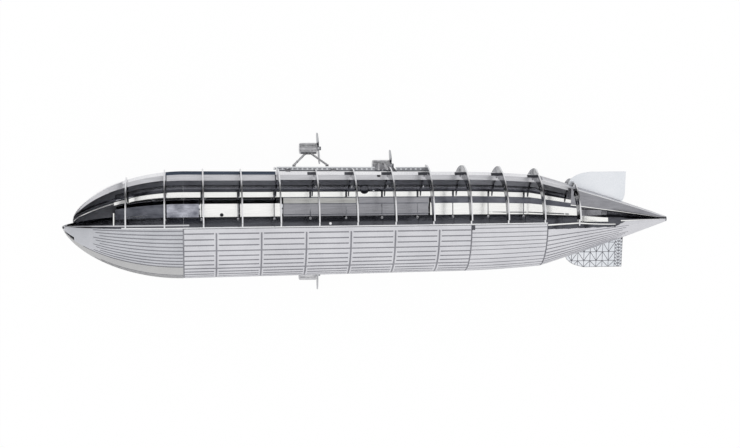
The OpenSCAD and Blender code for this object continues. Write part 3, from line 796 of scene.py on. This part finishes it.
def cutRing(name):
    low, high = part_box(name)
    x = (low[0] + high[0]) / 2
    innerRadius, crown = hullRadius(x) - ring["width"], high[1]
    closedRadius = hullRadius(x) - hull["sheet"] - ring["clear"]
    openFrom = ring["openFromTail"] if x > hull["aftX"] else ring["openFrom"]
    if x > hull["aftX"]:
        crown = (high[2] - hull["axisHeight"]) / cos(radians(180 - ring["openTo"]))
    middle = (innerRadius + crown) / 2
    halfSlot = degrees(ring["slotLength"] / 2 / middle)
    slotAngles = [openFrom + (ring["openTo"] - openFrom) * k / (ring["slots"] + 1)
                  for k in range(1, ring["slots"] + 1)]
    stops = [openFrom] + [a + turn for a in slotAngles for turn in (-halfSlot, halfSlot)] + [ring["openTo"]]
    radii = [innerRadius, middle - ring["slotWidth"] / 2, middle + ring["slotWidth"] / 2, crown]
    fret = drawLine(name + "_fret", [hullPoint(x, r, openFrom) for r in radii])
    spinAlong(stops, ring["arcStep"])
    pickFaces(lambda f: radii[1] < hullDistance(centreOf(f)) < radii[2]
              and any(abs(angleOf(f) - a) < halfSlot for a in slotAngles))
    dropPick()
    thicken(fret, [shadedFret, cutEdge], ring["edge"], [name])
    # the closed part of the ring, inside the skin, is painted black as shade
    closed = drawLine(name + "_closed", [hullPoint(x, r, ring["openTo"])
                                         for r in (closedRadius * ring["closedShare"], closedRadius)])
    spinAlong([ring["openTo"], 360 + openFrom], ring["arcStep"])
    thicken(closed, [shadeAndReflectionBlack], ring["edge"], [name])
    if x > hull["waistX"] - 1 * mm:
        bendLug(name + "_lug", x)


def bendLug(name, x):
    # the free end of the ring, rounded and bent forward outside the skin
    steps, bendLength = ring["lugSteps"], ring["openFrom"] - ring["lugFrom"]
    angles = [ring["lugFrom"] + (ring["lugTo"] - ring["lugFrom"]) * k / steps for k in range(steps + 1)]
    bent = lambda angle: x - ring["lugBend"] * max(0, (ring["openFrom"] - angle) / bendLength)
    rise = lambda k: ring["lugHeight"] * sin(pi * k / steps) ** 0.6
    outer = [hullPoint(bent(a), hullRadius(x) + ring["lugProud"] + rise(k), a) for k, a in enumerate(angles)]
    inner = [hullPoint(bent(a), hullRadius(x) + ring["lugGap"], a) for a in angles[::-1]]
    lug = drawLine(name, outer + inner)
    pickAll()
    bpy.ops.mesh.edge_face_add()
    bpy.ops.mesh.quads_convert_to_tris(quad_method="BEAUTY", ngon_method="BEAUTY")
    thicken(lug, [shadedFret, cutEdge], ring["edge"] + ring["lugExtra"])


for number in range(1, ringCount + 1):
    cutRing("ring_frame_%02d" % number)


# Engine cars: folded boxes with an open rear, louvres in their sides and two seams along the roof
print("engine cars")
car = dict(frontCorner=0.4 * mm, corner=0.9 * mm, wall=0.3 * mm, fold=0.12 * mm, cutDepth=0.12 * mm,
           louvres=6, louvrePitch=0.62 * mm, louvreWidth=0.24 * mm, seamAt=0.5 * mm, seamWidth=0.16 * mm,
           hatchMargin=0.14 * mm, stud=0.24 * mm, studAt=0.5 * mm, louvreRim=0.05 * mm, hair=0.01 * mm)


def foldCar(name):
    low, high = corners(name)
    middle = (low + high) / 2
    reach = (high - low) / 2
    clearPick()
    bpy.ops.mesh.primitive_cube_add(size=1, location=middle, scale=high - low)
    piece = startPiece(name + "_shell")
    openEdit()
    pickEdges(lambda e: abs((e.verts[0].co - e.verts[1].co).x) > reach.x)
    bpy.ops.mesh.bevel(offset=car["corner"], segments=1)
    pickEdges(lambda e: max(v.co.x for v in e.verts) < low.x + car["hair"])
    bpy.ops.mesh.bevel(offset=car["frontCorner"], segments=3)
    pickFaces(lambda f: f.normal.x > 0.9)
    dropPick()
    closeEdit()
    applyModifier(piece, "SOLIDIFY", thickness=car["wall"], offset=-1.0, use_even_offset=True)
    openEdit()
    half = car["louvreWidth"] / 2
    louvreMids = [middle.x + (k - (car["louvres"] - 1) / 2) * car["louvrePitch"]
                  for k in range(car["louvres"])]
    for x in louvreMids:
        for edge in (x - half, x + half):
            pickFaces(lambda f: abs(f.normal.y) > 0.9)
            bpy.ops.mesh.bisect(plane_co=(edge, 0, 0), plane_no=(1, 0, 0))
    for side in (-1, 1):
        for edge in (-0.5, 0.5):
            pickFaces(lambda f: f.normal.z > 0.9)
            bpy.ops.mesh.bisect(plane_co=(0, middle.y + side * car["seamAt"] + edge * car["seamWidth"], 0),
                                plane_no=(0, 1, 0))
    pickFaces(lambda f: abs(f.normal.y) > 0.9 and abs(abs(centreOf(f).y - middle.y) - reach.y) < car["hair"]
              and any(abs(centreOf(f).x - x) < half for x in louvreMids))
    bpy.ops.mesh.inset(thickness=car["louvreRim"], depth=-car["cutDepth"])
    pickFaces(lambda f: f.normal.z > 0.9 and abs(centreOf(f).z - high.z) < car["hair"]
              and abs(abs(centreOf(f).y - middle.y) - car["seamAt"]) < car["seamWidth"] / 2)
    sinkPick(car["cutDepth"])
    closeEdit()
    applyModifier(piece, "BEVEL", width=car["fold"], segments=2, limit_method="ANGLE", angle_limit=radians(40),
                  use_clamp_overlap=True)
    inwards = -1 if middle.y > 0 else 1
    chamfer = Vector((0, inwards, 1)).normalized()
    openEdit()
    pickFaces(lambda f: f.normal.dot(chamfer) > 0.98 and (centreOf(f) - middle).dot(chamfer) > car["corner"]
              and f.calc_area() > car["corner"] ** 2)
    bpy.ops.mesh.inset(thickness=car["hatchMargin"])
    sinkPick(car["cutDepth"])
    hatch = [f.index for f in bmesh.from_edit_mesh(piece.data).faces if f.select]
    closeEdit()
    smoothen(piece, 35)
    dress(piece, [dullSheet, shadeAndReflectionBlack], replaced=[name])
    # the hatch sunk in the inboard chamfer is painted black as the shade in it
    openEdit()
    pickFaces(lambda f: f.index in hatch)
    paintPick(1)
    closeEdit()
    onChamfer = Vector((car["studAt"], inwards * (reach.y - car["corner"] / 2), reach.z - car["corner"] / 2))
    turnStud(name + "_stud", middle + onChamfer - chamfer * car["cutDepth"], chamfer, car["stud"],
             car["cutDepth"], cutEdge)


def barLattice(piece, bar):
    applyModifier(piece, "WIREFRAME", thickness=bar, use_replace=True, use_even_offset=True, offset=0.0)


# Struts: two lattice legs hang each car from the edge of a window band, on feet crossed with wires
struts = dict(legWidth=0.62 * mm, barThickness=0.36 * mm, near=0.8 * mm, cross=1.4 * mm, panels=9,
              footLength=1.0 * mm, footHeight=0.8 * mm, wireLength=1.5 * mm, footIn=0.7 * mm,
              wireAt=1.9 * mm, wireLift=0.5 * mm, knobs=(0.18, 0.36), knobRadius=0.3 * mm, knobLength=0.6 * mm)


def latticeStrip(name, points, across, cells, crossed):
    # a row of cells between two lines, crossed or split by diagonals
    strip = drawLine(name, points)
    pickAll()
    for k in range(cells):
        pullEdges(across / cells)
    pickAll()
    bpy.ops.mesh.select_mode(type="FACE")
    if crossed:
        bpy.ops.mesh.poke()
    else:
        bpy.ops.mesh.quads_convert_to_tris(quad_method="FIXED")
    closeEdit()
    return strip


def latticeStrut(name, carName):
    low, high = corners(name)
    carLow, carHigh = corners(carName)
    side = 1 if low.y > 0 else -1
    nearY, farY = sorted((abs(low.y), abs(high.y)))
    footY, topY = side * (nearY + hull["sheet"] / 2), side * (farY - hull["sheet"] / 2)
    middleX = (carLow.x + carHigh.x) / 2
    spreadX = (high.x - low.x) / 2 - 1 * mm - (struts["footIn"] if "fwd" in name else 0)
    down = Vector((0, topY - footY, low.z - high.z))
    along = down.normalized()
    half = Vector((struts["legWidth"] / 2, 0, 0))
    pieces = []
    for way in (-1, 1):
        foot = Vector((middleX + way * spreadX, footY, high.z))
        top = Vector((middleX + way * struts["near"], footY, high.z)) + down
        start = foot + along * struts["footHeight"]
        pieces.append(latticeStrip("leg", [start - half, start + half], top - start, struts["panels"], False))
        reach = Vector((struts["footLength"] / 2, 0, 0))
        pieces.append(latticeStrip("pad", [foot - reach, foot, foot + reach],
                                   along * struts["footHeight"], 1, True))
        if "fwd" in name:
            over = foot + Vector((way * struts["wireAt"], -side * struts["footHeight"], struts["wireLift"]))
            wire = Vector((struts["wireLength"] / 2, 0, 0))
            pieces.append(latticeStrip("wires", [over - wire, over, over + wire],
                                       Vector((0, -side * struts["footHeight"], 0)), 1, True))
        if side == 1 and way == -1:
            for knob in struts["knobs"]:
                turnStud(name + "_knob", foot + (top - foot) * knob, Vector((-1, 0, 0)), struts["knobRadius"],
                         struts["knobLength"], dullSheet)
    beam = [Vector((middleX + x * struts["cross"], topY, low.z)) for x in (-1, -0.33, 0.33, 1)]
    pieces.append(latticeStrip("beam", beam, -along * struts["legWidth"], 1, True))
    piece = joinPieces(name + "_lattice", pieces)
    barLattice(piece, struts["barThickness"])
    recalcNormals(piece)
    dress(piece, [dullSheet], replaced=[name])


# Propellers: two twisted blades on a bored hub
propeller = dict(radius=4.9 * mm, chord=1.15 * mm, root=0.5 * mm, rootPitch=30, tipPitch=22, sections=10,
                 sheet=0.2 * mm, hubRadius=0.75 * mm, hubLength=0.8 * mm, hubWall=0.4 * mm,
                 bentBlade=26, bentBack=-28, lean=-5)


def chordAt(share):
    # nearly as wide at the tip as in the middle, drawn in at the hub
    tipShare = sqrt(max(0.0, 1 - 0.8 * share ** 8))
    return propeller["chord"] * tipShare * (0.6 + 0.4 * sin(pi / 2 * min(1, 2.5 * share)))


def turnBlades(angle, axis):
    bpy.ops.transform.rotate(value=angle, orient_axis=axis, center_override=(0, 0, 0))


def twistPropeller(name):
    low, high = corners(name)
    middle = (low + high) / 2
    pitch = radians(propeller["rootPitch"])
    half = chordAt(0) / 2
    blade = drawLine("blade", [Vector((half * sin(pitch), propeller["root"], half * cos(pitch))),
                               Vector((-half * sin(pitch), propeller["root"], -half * cos(pitch)))])
    pickAll()
    step = (propeller["radius"] - propeller["root"]) / propeller["sections"]
    fall = radians(propeller["rootPitch"] - propeller["tipPitch"]) / propeller["sections"]
    for k in range(propeller["sections"]):
        pullEdges((0, step, 0))
        centre = (0, propeller["root"] + (k + 1) * step, 0)
        grow = chordAt((k + 1) / propeller["sections"]) / chordAt(k / propeller["sections"])
        bpy.ops.transform.resize(value=(grow, 1, grow), center_override=centre)
        bpy.ops.transform.rotate(value=fall, orient_axis="Y", center_override=centre)
    pickAll()
    bpy.ops.mesh.duplicate()
    turnBlades(pi, "X")
    if name == "starboard_aft_propeller":
        turnBlades(radians(propeller["bentBlade"]), "Y")
        turnBlades(radians(propeller["bentBack"]), "Z")
    if name.startswith("starboard"):
        pickAll()
        turnBlades(radians(propeller["lean"]), "Z")
    closeEdit()
    applyModifier(blade, "SOLIDIFY", thickness=propeller["sheet"], offset=0.0)
    clearPick()
    bpy.ops.mesh.primitive_cylinder_add(vertices=36, radius=propeller["hubRadius"],
                                        depth=propeller["hubLength"], location=(0, 0, 0),
                                        rotation=(0, pi / 2, 0))
    hub = startPiece("hub")
    openEdit()
    pickFaces(lambda f: abs(f.normal.x) > 0.9)
    bpy.ops.mesh.inset(thickness=propeller["hubWall"])
    bpy.ops.mesh.bridge_edge_loops()
    closeEdit()
    applyModifier(hub, "BEVEL", width=0.1 * mm, segments=2, limit_method="ANGLE", angle_limit=radians(40))
    piece = joinPieces(name + "_blades", [hub, blade])
    recalcNormals(piece)
    openEdit()
    pickAll()
    bpy.ops.transform.translate(value=middle)
    closeEdit()
    smoothen(piece, 35)
    dress(piece, [bladeSheet], body=name, replaced=[name])


for side in ("starboard", "port"):
    for place in ("fwd", "aft"):
        start = side + "_" + place
        foldCar(start + "_car")
        latticeStrut(start + "_struts", start + "_car")
        twistPropeller(start + "_propeller")


# Window bands: strips on edge along the skin, their windows bitten deep and their foot bitten and painted black
# as the shade where they meet the skin
print("window bands")
band = dict(windowWidth=1.0 * mm, windowHeight=0.45 * mm, pitch=1.5 * mm, depth=0.1 * mm,
            footLine=0.42 * mm, footMargin=0.1 * mm, height=1.35 * mm, lowHeight=0.35 * mm, lowReach=3.2 * mm,
            windowMiddle=0.72 * mm, lift=0.05 * mm, leastStep=0.02 * mm)


def pierceBand(name, angle, carName):
    low, high = corners(name)
    carLow, carHigh = corners(carName)
    carX = (carLow.x + carHigh.x) / 2
    outwards, across = stripAxes(angle)
    count = int((high.x - low.x) / band["pitch"])
    mids = [(low.x + high.x) / 2 + (k - (count - 1) / 2) * band["pitch"] for k in range(count)]
    lowFrom, lowTo = carX - band["lowReach"], carX + band["lowReach"]
    xs = [low.x, lowFrom, lowTo, high.x]
    for x in mids:
        xs += [x - band["windowWidth"] / 2, x + band["windowWidth"] / 2]
    xs.sort()
    xs = [x for k, x in enumerate(xs) if k == 0 or x - xs[k - 1] > band["leastStep"]]
    piece = drawLine(name + "_strip", [hullPoint(x, hullRadius(x) + band["lift"], angle) for x in xs])
    pickAll()
    sill, head = (band["windowMiddle"] + way * band["windowHeight"] / 2 for way in (-1, 1))
    rows = (band["lowHeight"], band["footLine"] + band["footMargin"], sill, head, band["height"])
    last = 0
    for row in sorted(set(rows)):
        pullEdges(outwards * (row - last))
        last = row
    rise = lambda p: hullDistance(p) - hullRadius(p.x) - band["lift"]
    pickFaces(lambda f: lowFrom < centreOf(f).x < lowTo and rise(centreOf(f)) > band["lowHeight"])
    dropPick()
    closeEdit()
    dress(piece, [satinFret, etchedLine, shadeAndReflectionBlack], replaced=[name])
    applyModifier(piece, "SOLIDIFY", thickness=hull["sheet"], offset=0.0, use_even_offset=True)
    recalcNormals(piece)
    openEdit()
    pickFaces(lambda f: abs(f.normal.dot(across)) > 0.9 and (
        rise(centreOf(f)) < band["footLine"]
        or (abs(rise(centreOf(f)) - band["windowMiddle"]) < band["windowHeight"] / 2
            and any(abs(centreOf(f).x - x) < band["windowWidth"] / 2 for x in mids))))
    sinkPick(band["depth"])
    paintPick(1)
    # the foot is painted black as shade
    pickFaces(lambda f: abs(f.normal.dot(across)) > 0.9 and rise(centreOf(f)) < band["footLine"])
    paintPick(2)
    closeEdit()


pierceBand("starboard_window_band", 76.3, "starboard_aft_car")
pierceBand("port_window_band", 283.7, "port_aft_car")


# Fins: the port and ventral ones carry an etched lattice on both faces, dense over the rudder
print("fins")
fins = dict(tip=15.0 * mm, rows=(2.0, 2.8, 3.0, 3.0), bays=8, rudder=2.3 * mm, bar=0.19 * mm, proud=0.15 * mm,
            nose=7.5 * mm, cuts=6, rudderRows=10, rudderRow=1.0, rootGap=0.1 * mm)


def finLattice(name, angle):
    low, high = corners(name)
    fromX, toX = low.x, high.x
    outwards, across = stripAxes(angle)
    hinge = toX - fins["rudder"]
    stations = [fromX + (hinge - fromX) * k / fins["bays"] for k in range(fins["bays"] + 1)]
    rudderStations = [hinge, hinge + fins["rudder"] / 2, toX]
    rootRadius = hullRadius(fromX)
    parts = []
    for face in (-1, 1):
        for xs, rows in ((stations, fins["rows"]), (rudderStations, [fins["rudderRow"]] * fins["rudderRows"])):
            panel = drawLine("panel", [hullPoint(x, fins["tip"], angle) + across * face * fins["proud"]
                                       for x in xs])
            pickAll()
            for row in rows:
                pullEdges(-outwards * row * mm)
            bay = xs[1] - xs[0]
            for odd, method in ((0, "FIXED"), (1, "FIXED_ALTERNATE")):
                pickFaces(lambda f: len(f.verts) == 4 and int((centreOf(f).x - xs[0]) / bay) % 2 == odd)
                bpy.ops.mesh.quads_convert_to_tris(quad_method=method)
            cuts = []
            span = fins["tip"] - rootRadius
            for k in range(1, fins["cuts"]):
                turn = pi / 2 * k / fins["cuts"]
                point = hullPoint(fromX + fins["nose"] * (1 - cos(turn)),
                                  rootRadius + span * sin(turn), angle)
                normal = Vector((-cos(turn) / fins["nose"], 0, 0)) + outwards * sin(turn) / span
                cuts.append((point, normal.normalized()))
            slope = (hullRadius(toX) - rootRadius) / (toX - fromX)
            cuts.append((hullPoint(fromX, rootRadius + fins["rootGap"], angle),
                         (Vector((slope, 0, 0)) - outwards).normalized()))
            for point, normal in cuts:
                pickAll()
                bpy.ops.mesh.bisect(plane_co=point, plane_no=normal, clear_outer=True)
            closeEdit()
            parts.append(panel)
    piece = joinPieces(name + "_lattice", parts)
    barLattice(piece, fins["bar"])
    recalcNormals(piece)
    dress(piece, [etchedLine])


finLattice("port_fin", 270)
finLattice("ventral_fin", 0)

# Surroundings: a white table and a bright room, with a dark strip low on the starboard side for the mirrors
print("room")
room = dict(tableLength=0.5, tableWidth=0.18, tableGlow=0.96, tableTone="#ffffff", roomLight=1.0,
            darkFrom=-13.0, darkTo=24.0, darkLevel=0.02)
clearPick()
bpy.ops.mesh.primitive_plane_add(size=1, location=(0, 0, -0.02 * mm))
bpy.ops.transform.resize(value=(room["tableLength"], room["tableWidth"], 1))
table = startPiece("white_table")
paper = bpy.data.materials.new("matt white table paper")
paper.use_nodes = True
tree = paper.node_tree
shader = tree.nodes["Principled BSDF"]
shader.inputs["Base Color"].default_value = toLinear(room["tableTone"])
shader.inputs["Roughness"].default_value = 0.9
path = addNode(tree, "LightPath")
glow = addNode(tree, "Emission", dict(Strength=1.0))
seen = addNode(tree, "Math", links={0: path.outputs["Is Camera Ray"], 1: path.outputs["Is Glossy Ray"]},
               operation="MAXIMUM")
share = addNode(tree, "Math", {1: room["tableGlow"]}, {0: seen.outputs[0]}, operation="MULTIPLY")
mixed = addNode(tree, "MixShader",
                links={0: share.outputs[0], 1: shader.outputs[0], 2: glow.outputs[0]})
tree.links.new(mixed.outputs[0], tree.nodes["Material Output"].inputs["Surface"])
table.data.materials.append(paper)

world = bpy.data.worlds.new("bright room")
bpy.context.scene.world = world
world.use_nodes = True
tree = world.node_tree
backdrop = tree.nodes["Background"]
way = addNode(tree, "TexCoord")
parts = addNode(tree, "SeparateXYZ", links={0: way.outputs["Generated"]})
flat = addNode(tree, "MapRange", {"From Min": -1.0, "From Max": 1.0}, {"Value": parts.outputs["Z"]})
heights = addNode(tree, "ValToRGB", links=dict(Fac=flat.outputs[0]))
stripe = heights.color_ramp
stripe.interpolation = "LINEAR"
darkLow, darkHigh = (0.5 + sin(radians(room[k])) / 2 for k in ("darkFrom", "darkTo"))
stripe.elements[0].position, stripe.elements[0].color = darkLow - 0.01, (1, 1, 1, 1)
stripe.elements[1].position, stripe.elements[1].color = darkHigh + 0.01, (1, 1, 1, 1)
for place in (darkLow, darkHigh):
    stop = stripe.elements.new(place)
    stop.color = [room["darkLevel"]] * 3 + [1]
side = addNode(tree, "MapRange", {"From Min": 0.0, "From Max": 0.15}, {"Value": parts.outputs["Y"]})
path = addNode(tree, "LightPath")
dimmed = addNode(tree, "Math", links={0: side.outputs[0], 1: path.outputs["Is Glossy Ray"]},
                 operation="MULTIPLY")
seenRoom = addNode(tree, "MixRGB", {"Color1": (1, 1, 1, 1)},
                   {"Fac": dimmed.outputs[0], "Color2": heights.outputs["Color"]})
tree.links.new(seenRoom.outputs[0], backdrop.inputs["Color"])
strength = addNode(tree, "MapRange", {"To Min": room["roomLight"], "To Max": 1.0},
                   {"Value": path.outputs["Is Camera Ray"]})
tree.links.new(strength.outputs[0], backdrop.inputs["Strength"])
bpy.context.scene.view_settings.view_transform = "Standard"
